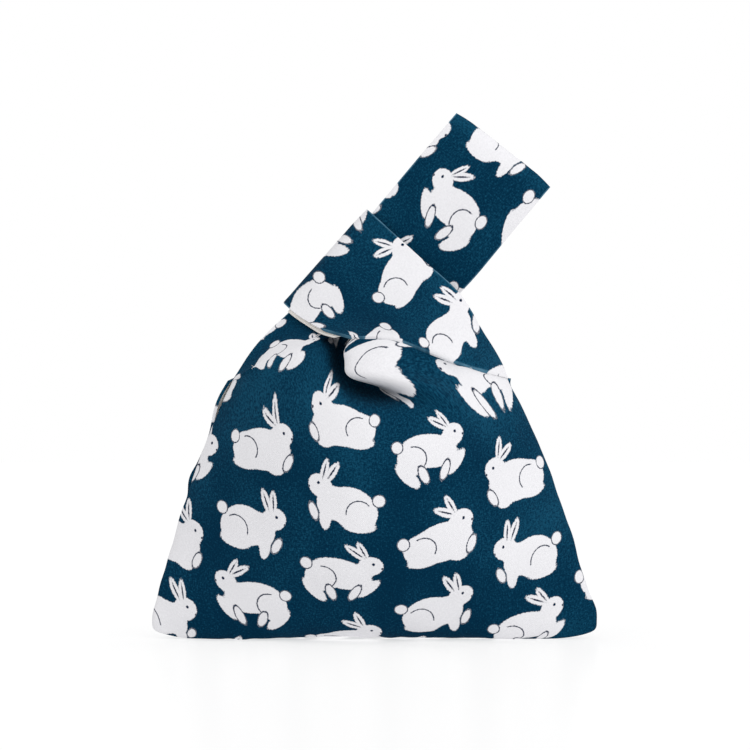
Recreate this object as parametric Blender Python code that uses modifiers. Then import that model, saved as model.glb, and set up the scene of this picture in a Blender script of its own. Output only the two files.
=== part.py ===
"""A knotted wrist bag of printed cotton, standing filled, with its long handle passed through its short one.

Each panel is one vest-shaped cut: a body with a long handle half at its left shoulder and a short one at its
right. The front and back panels meet at the sides, along the bottom and at both handle ends. A panel is an open
sheet of three joined grids, draped by the tables below, and Solidify gives it its thickness. The lining is part
of that thickness, but for its edge that shows below the short handle, which is a strip of its own.

Lengths in the tables are millimetres. X runs to the right, Y away from the viewer and Z up. Depths in the tables
are distances out from the seam plane, to the front or to the back.
"""

import math
from collections import namedtuple

import bmesh
import bpy
from mathutils import Vector

MM = 0.001

# From the tables' zero, at the seam plane, to the middle of the bag's footprint.
MIDDLE_X = 0.5
MIDDLE_FORWARD = 1.66

# The cut, flat. It is 242 wide along the bottom seam and 309 high to the end of its long handle.
ARMHOLE_WIDTH = 196.0  # between the armhole points, where the handles start to part
ARMHOLE_HEIGHT = 133.0
NECK_HEIGHT = 165.0
NECK_WIDTH = 56.0

# The cloth: an outer and its lining, joined.
CLOTH = 1.6
SEAM_GAP = 0.3
LIP = CLOTH + 0.35  # how far a panel's face stands out from the seam plane beside a seam

# The lining's edge, behind the lower hem of the front panel's short handle half.
LINING = 1.0
LINING_BEHIND = 2.05  # its depth behind the panel's face
LINING_SHOWS = 1.7  # how far it shows below the hem
LINING_WIDTH = 7.0  # and how far it reaches up behind it
LINING_FROM, LINING_TO = 21.5, 102.0  # distances from the handle's root

# How the two panels differ: the seam side each faces, how full it is, and how much its neck pleat puffs out.
Panel = namedtuple("Panel", "name side fullness puff colour")
PANELS = (
    Panel("front_panel", -1, 1.0, 1.0, (0.010, 0.045, 0.095)),
    Panel("back_panel", 1, 0.94, 0.55, (0.010, 0.045, 0.095)),
)
LINING_COLOUR = (0.80, 0.75, 0.70)

# Rows of cloth up the body. up: height on the flat cut; left, right and side_z: where the row meets the sides;
# mid_out and mid_z: its middle; plateau: the share of its half width over which it lies level with its middle;
# fall: how sharply it climbs from there to the sides.
Row = namedtuple("Row", "up left right side_z mid_out mid_z plateau fall")
ROWS = (
    Row(0.0, -111.0, 112.0, 4.0, 6.0, 0.0, 0.80, 2.0),
    Row(8.0, -111.0, 111.6, 11.5, 14.0, 0.0, 0.45, 2.6),
    Row(20.0, -107.8, 107.7, 22.8, 24.5, 5.5, 0.10, 2.6),
    Row(35.0, -103.9, 103.2, 36.9, 34.0, 17.5, 0.0, 2.4),
    Row(52.0, -99.4, 98.8, 52.9, 43.0, 32.0, 0.0, 2.2),
    Row(70.0, -94.2, 92.9, 69.8, 50.0, 48.5, 0.0, 2.0),
    Row(90.0, -87.8, 86.0, 88.6, 54.5, 68.0, 0.0, 2.0),
    Row(110.0, -80.3, 78.0, 107.4, 55.5, 88.0, 0.0, 2.0),
    Row(133.0, -71.0, 67.0, 129.0, 53.5, 111.0, 0.0, 2.0),
    Row(150.0, -61.0, 60.0, 144.0, 48.5, 127.0, 0.0, 2.0),
    Row(165.0, -52.0, 50.0, 157.0, 41.0, 140.0, 0.0, 2.0),
)
ROUNDNESS = 0.9  # the power of the parabola across a row: 0.5 is an ellipse
SEAM_BOW = 6.0  # how far the bottom seam's middle lies forward of its ends

# The top of the body, where the neckline is gathered into one deep pleat under the short handle.
# cut: distance across the flat cut; x, out, z: its place; foot, low and high: how far the pleat stands (x, out, z)
# off the straight way up to the neckline, at the three heights of SWELLS_AT.
FLAT = (0.0, 0.0, 0.0)
Neck = namedtuple("Neck", "cut x out z foot low high", defaults=(FLAT, FLAT, FLAT))
NECK = (
    Neck(-98.0, -71.0, LIP, 129.0),
    Neck(-84.0, -62.0, 16.5, 134.5),
    Neck(-70.0, -51.0, 26.0, 140.0),
    Neck(-56.0, -40.5, 28.5, 145.0),
    Neck(-45.0, -32.5, 25.5, 148.5, (0.0, 0.0, 0.0), (2.5, 3.5, -5.0), (0.5, 2.5, -1.5)),
    Neck(-36.0, -27.0, 17.5, 150.5, (-3.0, 5.0, -3.5), (0.5, 5.5, -6.5), (0.5, 7.0, -2.5)),
    Neck(-28.0, -23.0, 9.5, 151.5, (-2.5, 2.5, -3.5), (-1.0, 2.5, -7.0), (-0.5, 5.5, -2.5)),
    Neck(-18.0, -16.0, 5.5, 151.5, (-4.5, -11.5, -3.5), (-4.5, -12.0, -6.5), (-4.5, -7.5, -2.0)),
    Neck(-6.0, -8.0, 9.0, 151.2, (-5.0, -24.5, -4.0), (-2.0, -22.5, -6.0), (-2.0, -17.5, -2.0)),
    Neck(6.0, -5.0, 20.0, 151.2, (-4.0, -25.5, -5.0), (-0.5, -17.5, -7.0), (-1.0, -12.5, -2.5)),
    Neck(16.0, -8.5, 31.0, 151.0, (-4.0, -14.5, -4.5), (-11.5, -4.0, -8.0), (-7.5, -4.0, -4.0)),
    Neck(22.0, -10.5, 36.8, 150.6, (-6.5, -5.5, -3.5), (-21.0, 2.0, -7.5), (-13.0, -0.5, -5.5)),
    Neck(28.0, -8.2, 40.3, 149.6, (-7.0, 2.5, -2.0), (-22.5, 6.5, -5.5), (-14.0, 3.5, -4.5)),
    Neck(36.0, -0.5, 41.2, 149.8, (-6.0, 9.5, -0.5), (-20.0, 10.0, -3.5), (-13.5, 6.0, -2.5)),
    Neck(45.0, 8.0, 41.2, 149.3, (-4.5, 13.0, 1.0), (-17.5, 11.5, -2.0), (-11.5, 7.0, -1.5)),
    Neck(60.0, 24.0, 38.5, 143.8),
    Neck(75.0, 40.0, 33.5, 137.3),
    Neck(86.0, 53.0, 22.5, 133.2),
    Neck(98.0, 67.0, LIP, 130.0),
)
PLEAT_STARTS = 0.836  # the share of the body's height where the pleat's point lies
PLEAT_LEAN = 12.0  # how far across the cut the pleat's point lies to the right of its mouth
SWELLS_AT = (0.0, 0.222, 0.444, 0.667, 1.0)  # shares of the way from the pleat's point up to its mouth
SWELLS = {  # how far each row holds there
    "foot": (0.0, 1.0, 0.0, 0.0, 0.0),
    "low": (0.0, 0.0, 1.0, 0.0, 0.0),
    "high": (0.0, 0.0, 0.0, 1.0, 0.0),
}

# Rows of cloth along a handle half, from its root. along: distance from the root at the armhole edge;
# left and right edges, each x, out and z; crown: how far the middle stands out from the line between them.
Band = namedtuple("Band", "along lx lout lz rx rout rz crown")
LONG_HANDLE = (
    Band(0.0, -71.0, LIP, 129.0, -12.0, 12.5, 154.5, 20.0),
    Band(24.0, -57.5, 8.0, 149.0, 2.0, 9.5, 155.0, 8.0),
    Band(46.0, -41.0, 7.5, 164.0, 17.0, 8.0, 157.5, 4.0),
    Band(78.0, -20.5, 6.2, 189.0, 32.0, 6.2, 163.0, 1.5),
    Band(110.0, -0.5, 5.6, 213.0, 46.0, 5.6, 175.7, 1.2),
    Band(145.0, 22.0, 6.4, 240.0, 68.7, 6.4, 202.7, 1.5),
    Band(165.0, 35.5, 5.6, 255.8, 82.3, 5.6, 218.8, 0.8),
    Band(173.0, 40.8, 3.6, 262.2, 87.7, 3.6, 225.2, 0.2),
    Band(175.5, 42.0, LIP, 263.7, 89.0, LIP, 226.7, 0.0),
)
SHORT_HANDLE = (
    Band(0.0, -9.5, 40.0, 150.3, 67.0, 2.9, 130.5, 14.0),
    Band(13.0, -13.0, 36.5, 151.2, 62.0, 7.0, 142.0, 14.0),
    Band(21.0, -18.5, 30.5, 152.6, 56.5, 9.5, 149.5, 12.0),
    Band(47.0, -27.0, 23.0, 155.0, 43.5, 11.5, 171.7, 8.0),
    Band(73.0, -35.0, 17.0, 159.5, 24.5, 11.0, 189.0, 4.5),
    Band(95.0, -40.8, 13.0, 163.6, 8.0, 10.5, 204.0, 2.5),
    Band(105.0, -43.9, 10.5, 166.4, 1.0, 9.8, 210.5, 1.2),
    Band(109.5, -45.2, 6.3, 167.7, -3.2, 6.3, 214.2, 0.6),
    Band(112.0, -45.5, LIP, 168.0, -4.0, LIP, 215.0, 0.0),
)
ROOT_FADES_OVER = 62.0  # how far along a handle the folds at its root reach
LAP = 1.6  # the height of the step where the short handle laps over the body at its root

# The grids: faces across each part of a panel and along each.
ACROSS_SHOULDER = 12
ACROSS_NECK = 16
UP_BODY = 22
UP_PLEAT = 9
ALONG_LONG = 18
ALONG_SHORT = 14
CLOSER_AT_END = 1.35

WELD = 0.02  # how near two grids' points are made one

# The left shoulder's box (x, out, z), where the cloth is smoothed, and how often.
SHOULDER_BOX = ((-80.0, 5.0, 118.0), (-19.0, 60.0, 175.0))
SHOULDER_PASSES = 5


def curve(at, stations, values):
    """The value at a place on the smooth curve through (stations, values), without overshoot."""
    at = min(max(at, stations[0]), stations[-1])
    i = next(k for k in range(len(stations) - 1) if at <= stations[k + 1])
    slopes = []
    for k in (i, i + 1):
        if k in (0, len(stations) - 1):
            j = min(k, len(stations) - 2)
            slopes.append((values[j + 1] - values[j]) / (stations[j + 1] - stations[j]))
            continue
        before, after = stations[k] - stations[k - 1], stations[k + 1] - stations[k]
        rise, next_rise = (values[k] - values[k - 1]) / before, (values[k + 1] - values[k]) / after
        if rise * next_rise <= 0:
            slopes.append(0.0)
        else:
            heavy, light = 2 * after + before, after + 2 * before
            slopes.append((heavy + light) / (heavy / rise + light / next_rise))
    step = stations[i + 1] - stations[i]
    t = (at - stations[i]) / step
    return (
        values[i] * (1 + 2 * t) * (1 - t) ** 2
        + values[i + 1] * t * t * (3 - 2 * t)
        + step * (slopes[0] * t * (1 - t) ** 2 - slopes[1] * t * t * (1 - t))
    )


def read(table, key, at, column):
    """A column of a table, read at a place between its rows."""
    return curve(at, [getattr(row, key) for row in table], [getattr(row, column) for row in table])


def even_across(share, depth, half_width):
    """Where a share of a curved row's cloth lies across its chord, both from -1 to 1."""
    lean = math.hypot(1, 2 * depth / half_width)
    pull = (lean - 1) / (1 + 2 * lean)
    return (1 + pull) * share - pull * share**3


def row_place(panel, share, up):
    """The place (x, out, z) on the plain body, without its pleat, at a share across and a height on the cut."""
    left, right = read(ROWS, "up", up, "left"), read(ROWS, "up", up, "right")
    side_z, mid_z = read(ROWS, "up", up, "side_z"), read(ROWS, "up", up, "mid_z")
    mid_out = read(ROWS, "up", up, "mid_out")
    plateau, fall = read(ROWS, "up", up, "plateau"), read(ROWS, "up", up, "fall")
    if up > ROWS[1].up:
        mid_out *= panel.fullness
    across = even_across(share, mid_out, (right - left) / 2)
    arch = max(1 - across * across, 0.0) ** ROUNDNESS
    level = max(abs(across) - plateau, 0.0) / (1 - plateau)
    x = left + (right - left) * (across + 1) / 2
    z = mid_z + (side_z - mid_z) * level**fall
    return x, LIP + (mid_out - LIP) * arch, max(z, 0.0)


def neck_place(panel, cut):
    """The place (x, out, z) on the body's top row, at a distance across the cut."""
    x, out, z = (read(NECK, "cut", cut, column) for column in ("x", "out", "z"))
    return x, LIP + (out - LIP) * panel.fullness, z


def pleat_stand(cut, row):
    """How far the pleat stands off at a distance across the cut, in one of its rows."""
    cuts = [neck.cut for neck in NECK]
    return [curve(cut, cuts, column) for column in zip(*(getattr(neck, row) for neck in NECK))]


def body_place(panel, cut, rise):
    """The place (x, out, z) on the body at a distance across the cut and a share of the way up to the neck."""
    share = cut / (ARMHOLE_WIDTH / 2)
    roof = min((1 - abs(share)) / (1 - NECK_WIDTH / ARMHOLE_WIDTH), 1.0)
    up = rise * (ARMHOLE_HEIGHT + (NECK_HEIGHT - ARMHOLE_HEIGHT) * roof)
    plain = row_place(panel, share, up)
    pleated = max(rise - PLEAT_STARTS, 0.0) / (1 - PLEAT_STARTS)
    cut -= PLEAT_LEAN * (1 - pleated) * (1 - share * share)
    top = neck_place(panel, cut)
    place = [a + (b - a) * pleated for a, b in zip(plain, top)]
    for row, holds in SWELLS.items():
        swell = panel.puff * curve(pleated, SWELLS_AT, holds)
        place = [a + swell * b for a, b in zip(place, pleat_stand(cut, row))]
    return tuple(place)


def band_place(table, along, across):
    """The place (x, out, z) on a handle half, from its own table alone."""
    left = [read(table, "along", along, column) for column in ("lx", "lout", "lz")]
    right = [read(table, "along", along, column) for column in ("rx", "rout", "rz")]
    x, out, z = (a + (b - a) * across for a, b in zip(left, right))
    return x, out + read(table, "along", along, "crown") * (1 - (2 * across - 1) ** 2), z


def shoulder_cut(share):
    """The distance across the cut at a share of the way from the neck to the armhole."""
    return NECK_WIDTH / 2 + (ARMHOLE_WIDTH - NECK_WIDTH) / 2 * share


def root_place(panel, table, across):
    """The place (x, out, z) on a handle half's root: the body's top row, and the lap on the short one."""
    if table is LONG_HANDLE:
        return neck_place(panel, -shoulder_cut(1 - across))
    x, out, z = neck_place(panel, shoulder_cut(across))
    return x - LAP * (1 - across) ** 4, out + 0.85 * LAP, z + 0.5 * LAP


def handle_place(panel, table, along, across):
    """The place (x, out, z) on a handle half, whose root's folds fade out along it."""
    root, band = root_place(panel, table, across), band_place(table, 0.0, across)
    left = max(1 - along / ROOT_FADES_OVER, 0.0)
    keep = left * left * (3 - 2 * left)
    place = band_place(table, along, across)
    return tuple(a + (b - c) * keep for a, b, c in zip(place, root, band))


def bottom_seam(x):
    """How far forward of the seam plane the bottom seam runs."""
    return SEAM_BOW * max(1 - (x / ROWS[0].right) ** 2, 0.0)


def to_world(panel, place, stand=None, forward=0.0):
    """A place (x, out, z) as a point. stand replaces out beside a seam, and forward is how far the seam bows."""
    x, out, z = place
    if stand is not None:
        out = stand
    return (x - MIDDLE_X) * MM, (panel.side * out - forward + MIDDLE_FORWARD) * MM, z * MM


def add_grid(bm, columns, rows, place):
    """Adds a grid and puts each vertex where place(column, row) says."""
    made = bmesh.ops.create_grid(bm, x_segments=columns, y_segments=rows, size=0.5)
    for vert in made["verts"]:
        column, row = round((vert.co.x + 0.5) * columns), round((vert.co.y + 0.5) * rows)
        vert.co = place(column, row)


def neck_stations():
    """The distances across the cut of the body's columns, from the left shoulder to the right one."""
    shoulder = [shoulder_cut(k / ACROSS_SHOULDER) for k in range(ACROSS_SHOULDER + 1)]
    neck = [NECK_WIDTH * (k / ACROSS_NECK - 0.5) for k in range(1, ACROSS_NECK)]
    return [-cut for cut in reversed(shoulder)] + neck + shoulder


def body_rises():
    """The body's rows, closer together at the foot, where it turns under, and in the pleat."""
    lip = LIP / NECK_HEIGHT
    below = [lip + (PLEAT_STARTS - lip) * (k / UP_BODY) ** 1.15 for k in range(UP_BODY)]
    return below + [PLEAT_STARTS + (1 - PLEAT_STARTS) * k / UP_PLEAT for k in range(UP_PLEAT + 1)]


def add_body(bm, panel):
    """The body, with a lip of one face along the bottom seam and along each side seam."""
    cuts, rises = neck_stations(), body_rises()

    def place(column, row):
        on_seam = row == 0 or column in (0, len(cuts) + 1)
        cut = cuts[min(max(column - 1, 0), len(cuts) - 1)]
        spot = body_place(panel, cut, rises[row - 1] if row > 1 else 0.0)
        if row > 1:
            return to_world(panel, spot, SEAM_GAP / 2 if on_seam else None)
        return to_world(panel, spot, SEAM_GAP / 2 if on_seam else LIP, bottom_seam(spot[0]))

    add_grid(bm, len(cuts) + 1, len(rises), place)


def along_stations(table, count):
    """Distances along a handle half, closer together towards its folded end."""
    length = table[-1].along
    return [length * (1 - (1 - k / count) ** CLOSER_AT_END) for k in range(count + 1)]


def add_handle(bm, panel, table, count):
    """A handle half, from the body's top row to a lip at the seam in its folded end."""
    stations = along_stations(table, count)
    if table is SHORT_HANDLE:
        stations.insert(0, None)  # the body's own row, under the lap

    def place(column, row):
        across = column / ACROSS_SHOULDER
        if stations[min(row, len(stations) - 1)] is None:
            return to_world(panel, neck_place(panel, shoulder_cut(across)))
        at_end = row == len(stations)
        along = stations[row - 1] if at_end else stations[row]
        return to_world(panel, handle_place(panel, table, along, across), SEAM_GAP / 2 if at_end else None)

    add_grid(bm, ACROSS_SHOULDER, len(stations), place)


def lining_place(panel, along, down):
    """The place (x, out, z) behind the short handle half, at a distance along it and below its lower hem."""

    def at(where, across):
        return Vector(handle_place(panel, SHORT_HANDLE, where, across))

    hem, upper = at(along, 0.0), at(along, 1.0)
    up = (at(along, 0.1) - hem).normalized()
    behind = up.cross(at(along + 1, 0.0) - at(along - 1, 0.0)).normalized()
    behind *= -math.copysign(LINING_BEHIND, behind.y)
    face = hem - up * down if down > 0 else at(along, -down / (upper - hem).length)
    return face + behind


def settle_shoulder(bm, panel):
    """Rounds the left shoulder, where the long handle turns in under the short one."""
    corners = [to_world(panel, corner) for corner in SHOULDER_BOX]
    low, high = ([pick(pair) for pair in zip(*corners)] for pick in (min, max))
    turning = [
        vert
        for vert in bm.verts
        if not vert.is_boundary and all(a <= b <= c for a, b, c in zip(low, vert.co, high))
    ]
    for _ in range(SHOULDER_PASSES):
        bmesh.ops.smooth_vert(bm, verts=turning, factor=0.5, use_axis_x=True, use_axis_y=True, use_axis_z=True)


def material(name, colour, roughness):
    made = bpy.data.materials.new(name)
    made.use_nodes = True
    shader = made.node_tree.nodes["Principled BSDF"]
    shader.inputs["Base Color"].default_value = (*colour, 1.0)
    shader.inputs["Roughness"].default_value = roughness
    shader.inputs["Metallic"].default_value = 0.0
    return made


def add_sheet(name, bm, thickness, cloth, collection):
    """A node: the bmesh as an object, smooth, with its thickness on its inner side."""
    mesh = bpy.data.meshes.new(name)
    bm.to_mesh(mesh)
    bm.free()
    mesh.materials.append(cloth)
    mesh.shade_smooth()
    made = bpy.data.objects.new(name, mesh)
    collection.objects.link(made)
    wall = made.modifiers.new("Thickness", "SOLIDIFY")
    wall.thickness = thickness * MM
    wall.offset = -1.0
    return made


def add_panel(panel, collection):
    bm = bmesh.new()
    add_body(bm, panel)
    add_handle(bm, panel, LONG_HANDLE, ALONG_LONG)
    bmesh.ops.remove_doubles(bm, verts=bm.verts, dist=WELD * MM)
    settle_shoulder(bm, panel)
    add_handle(bm, panel, SHORT_HANDLE, ALONG_SHORT)
    bmesh.ops.remove_doubles(bm, verts=bm.verts, dist=WELD * MM)
    if panel.side > 0:
        bmesh.ops.reverse_faces(bm, faces=bm.faces)
    cloth = material(f"{panel.name} printed cotton", panel.colour, 0.85)
    return add_sheet(panel.name, bm, CLOTH, cloth, collection)


def add_lining_edge(panel, collection):
    bm = bmesh.new()
    count_along, count_up = 16, 4

    def place(column, row):
        along = LINING_FROM + (LINING_TO - LINING_FROM) * row / count_along
        down = LINING_SHOWS - (LINING_SHOWS + LINING_WIDTH) * column / count_up
        return to_world(panel, lining_place(panel, along, down))

    add_grid(bm, count_up, count_along, place)
    cloth = material("lining cotton", LINING_COLOUR, 0.85)
    return add_sheet("lining_edge", bm, LINING, cloth, collection)


def clear_scene():
    for thing in list(bpy.data.objects):
        bpy.data.objects.remove(thing, do_unlink=True)


def main():
    clear_scene()
    bag = bpy.data.collections.new("Knotted wrist bag")
    bpy.context.scene.collection.children.link(bag)
    for panel in PANELS:
        add_panel(panel, bag)
    add_lining_edge(PANELS[0], bag)


main()
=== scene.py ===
"""The looks of the knotted wrist bag: printed cotton outside, cream cotton inside, on white paper.

Each panel is draped from the same tables as its solid, refined and creased, and carries its flat cut as a UV
map. The print and the weave are laid out on that flat cut, so they follow the cloth round every fold.

Lengths in the tables are millimetres. X runs to the right, Y away from the viewer and Z up. Depths in the
tables are distances out from the seam plane, to the front or to the back.
"""

import math
from collections import namedtuple

import bmesh
import bpy
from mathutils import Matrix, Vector, noise


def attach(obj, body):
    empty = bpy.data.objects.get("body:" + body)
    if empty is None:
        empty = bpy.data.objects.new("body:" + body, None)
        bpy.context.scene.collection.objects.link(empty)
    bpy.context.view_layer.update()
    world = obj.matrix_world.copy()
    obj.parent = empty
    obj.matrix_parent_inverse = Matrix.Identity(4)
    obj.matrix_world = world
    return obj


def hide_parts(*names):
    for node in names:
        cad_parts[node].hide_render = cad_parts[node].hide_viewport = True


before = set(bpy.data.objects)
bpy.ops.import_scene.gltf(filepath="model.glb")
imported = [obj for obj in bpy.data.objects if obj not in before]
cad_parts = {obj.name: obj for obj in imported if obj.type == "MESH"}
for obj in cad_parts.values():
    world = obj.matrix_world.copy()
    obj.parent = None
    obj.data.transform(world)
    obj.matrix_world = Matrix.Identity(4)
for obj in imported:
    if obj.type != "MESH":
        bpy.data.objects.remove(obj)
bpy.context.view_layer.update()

MM = 0.001

# From the tables' zero, at the seam plane, to the middle of the bag's footprint.
MIDDLE_X = 0.5
MIDDLE_FORWARD = 1.66

# The cut, flat. It is 242 wide along the bottom seam and 309 high to the end of its long handle.
ARMHOLE_WIDTH = 196.0  # between the armhole points, where the handles start to part
ARMHOLE_HEIGHT = 133.0
NECK_HEIGHT = 165.0
NECK_WIDTH = 56.0

# The cloth: an outer and its lining, joined.
CLOTH = 1.6
CLOTH_EDGE = 0.5  # how wide its edges are softened
EDGE_ANGLE = 60.0  # degrees: only sharper edges are softened
SEAM_GAP = 0.3
LIP = CLOTH + 0.35  # how far a panel's face stands out from the seam plane beside a seam

# The lining's edge, behind the lower hem of the front panel's short handle half.
LINING = 1.0
LINING_EDGE = 0.3  # how wide its own edges are softened
LINING_BEHIND = 2.05  # its depth behind the panel's face
LINING_SHOWS = 1.7  # how far it shows below the hem
LINING_WIDTH = 7.0  # and how far it reaches up behind it
LINING_FROM, LINING_TO = 21.5, 102.0  # distances from the handle's root
HEM_UP, HEM_ALONG = 0.1, 1.0  # over what share of the width and what length the hem's slope is read

# How the two panels differ: the seam side each faces, how full it is, and how much its neck pleat puffs out.
Panel = namedtuple("Panel", "name side fullness puff")
PANELS = (
    Panel("front_cloth", -1, 1.0, 1.0),
    Panel("back_cloth", 1, 0.94, 0.55),
)

# Rows of cloth up the body. up: height on the flat cut; left, right and side_z: where the row meets the
# sides; mid_out and mid_z: its middle; plateau: the share of its half width over which it lies level with
# its middle; fall: how sharply it climbs from there to the sides.
Row = namedtuple("Row", "up left right side_z mid_out mid_z plateau fall")
ROWS = (
    Row(0.0, -111.0, 112.0, 4.0, 6.0, 0.0, 0.80, 2.0),
    Row(8.0, -111.0, 111.6, 11.5, 14.0, 0.0, 0.45, 2.6),
    Row(20.0, -107.8, 107.7, 22.8, 24.5, 5.5, 0.10, 2.6),
    Row(35.0, -103.9, 103.2, 36.9, 34.0, 17.5, 0.0, 2.4),
    Row(52.0, -99.4, 98.8, 52.9, 43.0, 32.0, 0.0, 2.2),
    Row(70.0, -94.2, 92.9, 69.8, 50.0, 48.5, 0.0, 2.0),
    Row(90.0, -87.8, 86.0, 88.6, 54.5, 68.0, 0.0, 2.0),
    Row(110.0, -80.3, 78.0, 107.4, 55.5, 88.0, 0.0, 2.0),
    Row(133.0, -71.0, 67.0, 129.0, 53.5, 111.0, 0.0, 2.0),
    Row(150.0, -61.0, 60.0, 144.0, 48.5, 127.0, 0.0, 2.0),
    Row(165.0, -52.0, 50.0, 157.0, 41.0, 140.0, 0.0, 2.0),
)
ROUNDNESS = 0.9  # the power of the parabola across a row: 0.5 is an ellipse
SEAM_BOW = 6.0  # how far the bottom seam's middle lies forward of its ends

# The top of the body, where the neckline is gathered into one deep pleat under the short handle.
# cut: distance across the flat cut; x, out, z: its place; foot, low and high: how far the pleat stands
# (x, out, z) off the straight way up to the neckline, at the three inner heights of SWELLS_AT.
FLAT = (0.0, 0.0, 0.0)
Neck = namedtuple("Neck", "cut x out z foot low high", defaults=(FLAT, FLAT, FLAT))
NECK = (
    Neck(-98.0, -71.0, LIP, 129.0),
    Neck(-84.0, -62.0, 16.5, 134.5),
    Neck(-70.0, -51.0, 26.0, 140.0),
    Neck(-56.0, -40.5, 28.5, 145.0),
    Neck(-45.0, -32.5, 25.5, 148.5, FLAT, (2.5, 3.5, -5.0), (0.5, 2.5, -1.5)),
    Neck(-36.0, -27.0, 17.5, 150.5, (-3.0, 5.0, -3.5), (0.5, 5.5, -6.5), (0.5, 7.0, -2.5)),
    Neck(-28.0, -23.0, 9.5, 151.5, (-2.5, 2.5, -3.5), (-1.0, 2.5, -7.0), (-0.5, 5.5, -2.5)),
    Neck(-18.0, -16.0, 5.5, 151.5, (-4.5, -11.5, -3.5), (-4.5, -12.0, -6.5), (-4.5, -7.5, -2.0)),
    Neck(-6.0, -8.0, 9.0, 151.2, (-5.0, -24.5, -4.0), (-2.0, -22.5, -6.0), (-2.0, -17.5, -2.0)),
    Neck(6.0, -5.0, 20.0, 151.2, (-4.0, -25.5, -5.0), (-0.5, -17.5, -7.0), (-1.0, -12.5, -2.5)),
    Neck(16.0, -8.5, 31.0, 151.0, (-4.0, -14.5, -4.5), (-11.5, -4.0, -8.0), (-7.5, -4.0, -4.0)),
    Neck(22.0, -10.5, 36.8, 150.6, (-6.5, -5.5, -3.5), (-21.0, 2.0, -7.5), (-13.0, -0.5, -5.5)),
    Neck(28.0, -8.2, 40.3, 149.6, (-7.0, 2.5, -2.0), (-22.5, 6.5, -5.5), (-14.0, 3.5, -4.5)),
    Neck(36.0, -0.5, 41.2, 149.8, (-6.0, 9.5, -0.5), (-20.0, 10.0, -3.5), (-13.5, 6.0, -2.5)),
    Neck(45.0, 8.0, 41.2, 149.3, (-4.5, 13.0, 1.0), (-17.5, 11.5, -2.0), (-11.5, 7.0, -1.5)),
    Neck(60.0, 24.0, 38.5, 143.8),
    Neck(75.0, 40.0, 33.5, 137.3),
    Neck(86.0, 53.0, 22.5, 133.2),
    Neck(98.0, 67.0, LIP, 130.0),
)
PLEAT_STARTS = 0.836  # the share of the body's height where the pleat's point lies
PLEAT_LEAN = 12.0  # how far across the cut the pleat's point lies to the right of its mouth
SWELLS_AT = (0.0, 0.222, 0.444, 0.667, 1.0)  # shares of the way from the pleat's point up to its mouth
SWELLS = {  # how far each row holds there
    "foot": (0.0, 1.0, 0.0, 0.0, 0.0),
    "low": (0.0, 0.0, 1.0, 0.0, 0.0),
    "high": (0.0, 0.0, 0.0, 1.0, 0.0),
}

# Rows of cloth along a handle half, from its root. along: distance from the root at the armhole edge;
# left and right edges, each x, out and z; crown: how far the middle stands out from the line between them.
Band = namedtuple("Band", "along lx lout lz rx rout rz crown")
LONG_HANDLE = (
    Band(0.0, -71.0, LIP, 129.0, -12.0, 12.5, 154.5, 20.0),
    Band(24.0, -57.5, 8.0, 149.0, 2.0, 9.5, 155.0, 8.0),
    Band(46.0, -41.0, 7.5, 164.0, 17.0, 8.0, 157.5, 4.0),
    Band(78.0, -20.5, 6.2, 189.0, 32.0, 6.2, 163.0, 1.5),
    Band(110.0, -0.5, 5.6, 213.0, 46.0, 5.6, 175.7, 1.2),
    Band(145.0, 22.0, 6.4, 240.0, 68.7, 6.4, 202.7, 1.5),
    Band(165.0, 35.5, 5.6, 255.8, 82.3, 5.6, 218.8, 0.8),
    Band(173.0, 40.8, 3.6, 262.2, 87.7, 3.6, 225.2, 0.2),
    Band(175.5, 42.0, LIP, 263.7, 89.0, LIP, 226.7, 0.0),
)
SHORT_HANDLE = (
    Band(0.0, -9.5, 40.0, 150.3, 67.0, 2.9, 130.5, 14.0),
    Band(13.0, -13.0, 36.5, 151.2, 62.0, 7.0, 142.0, 14.0),
    Band(21.0, -18.5, 30.5, 152.6, 56.5, 9.5, 149.5, 12.0),
    Band(47.0, -27.0, 23.0, 155.0, 43.5, 11.5, 171.7, 8.0),
    Band(73.0, -35.0, 17.0, 159.5, 24.5, 11.0, 189.0, 4.5),
    Band(95.0, -40.8, 13.0, 163.6, 8.0, 10.5, 204.0, 2.5),
    Band(105.0, -43.9, 10.5, 166.4, 1.0, 9.8, 210.5, 1.2),
    Band(109.5, -45.2, 6.3, 167.7, -3.2, 6.3, 214.2, 0.6),
    Band(112.0, -45.5, LIP, 168.0, -4.0, LIP, 215.0, 0.0),
)
ROOT_FADES_OVER = 62.0  # how far along a handle the folds at its root reach

# Where the short handle laps over the body at its root: how far its neck edge lies to the left, how sharply
# that fades across the handle, and how far the whole root stands out and up.
LAP, LAP_FADES = 1.6, 4
LAP_OUT, LAP_UP = 0.85 * LAP, 0.5 * LAP

# The grids: faces across each part of a panel and along each.
ACROSS_SHOULDER = 12
ACROSS_NECK = 16
ACROSS_LINING = 6
UP_BODY = 22
UP_PLEAT = 9
ALONG_LONG = 18
ALONG_SHORT = 14
ALONG_LINING = 48
CLOSER_AT_FOOT, CLOSER_AT_END = 1.15, 1.35  # powers: 1 spaces the rows evenly
FINENESS = 2  # how often a panel's faces are quartered

WELD = 0.02  # how near two grids' points are made one

# The left shoulder's box (x, out, z), where the cloth is smoothed, how often and how far each time.
SHOULDER_BOX = ((-80.0, 5.0, 118.0), (-19.0, 60.0, 175.0))
SHOULDER_PASSES, SHOULDER_PULL = 5, 0.5

# The flat cut, beside what the drape's tables say of it. Heights are from the bottom edge.
BOTTOM_WIDTH = 242.0
HANDLE_WIDTH = 70.0
LONG_END = 309.0
SHORT_TUCK = 203.0  # where the short handle's neck edge comes out from under the body's pleat
SHORT_END = 245.0
BACK_CUT_AT = 637.0  # how far along the cloth the back's cut lies

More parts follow.
